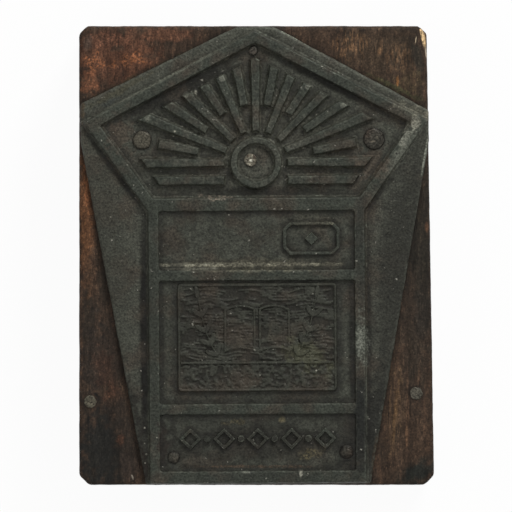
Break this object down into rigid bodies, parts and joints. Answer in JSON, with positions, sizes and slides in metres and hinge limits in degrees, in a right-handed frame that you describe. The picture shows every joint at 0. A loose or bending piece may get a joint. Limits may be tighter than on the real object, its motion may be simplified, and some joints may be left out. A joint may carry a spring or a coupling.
{
  "type": "bookplate printing block",
  "caption": "Letterpress printing block: a relief metal plate with a gabled frame, nailed face up on a hardwood mount that brings it to type height.",
  "frame": {"origin": "under the middle of the block, on its flat back face", "axes": "+Z out of the printing face, +Y towards the head of the design, +X to its right"},
  "size_m": [0.0696, 0.09, 0.0236],
  "materials": {
    "hardwood": "dark stained hardwood, worn and ink-darkened",
    "plate_metal": "oxidised grey-green relief metal, dull, worn lighter on its edges",
    "nail_iron": "dull iron with a brown tarnish"
  },
  "bodies": {
    "root": {"mount_block": "hardwood", "relief_plate": "plate_metal", "head_nail_left": "nail_iron", "head_nail_right": "nail_iron", "apex_nail": "nail_iron", "centre_nail": "nail_iron", "foot_nail_left": "nail_iron", "foot_nail_right": "nail_iron", "side_pin_left": "nail_iron", "side_pin_right": "nail_iron"}
  },
  "joints": []
}
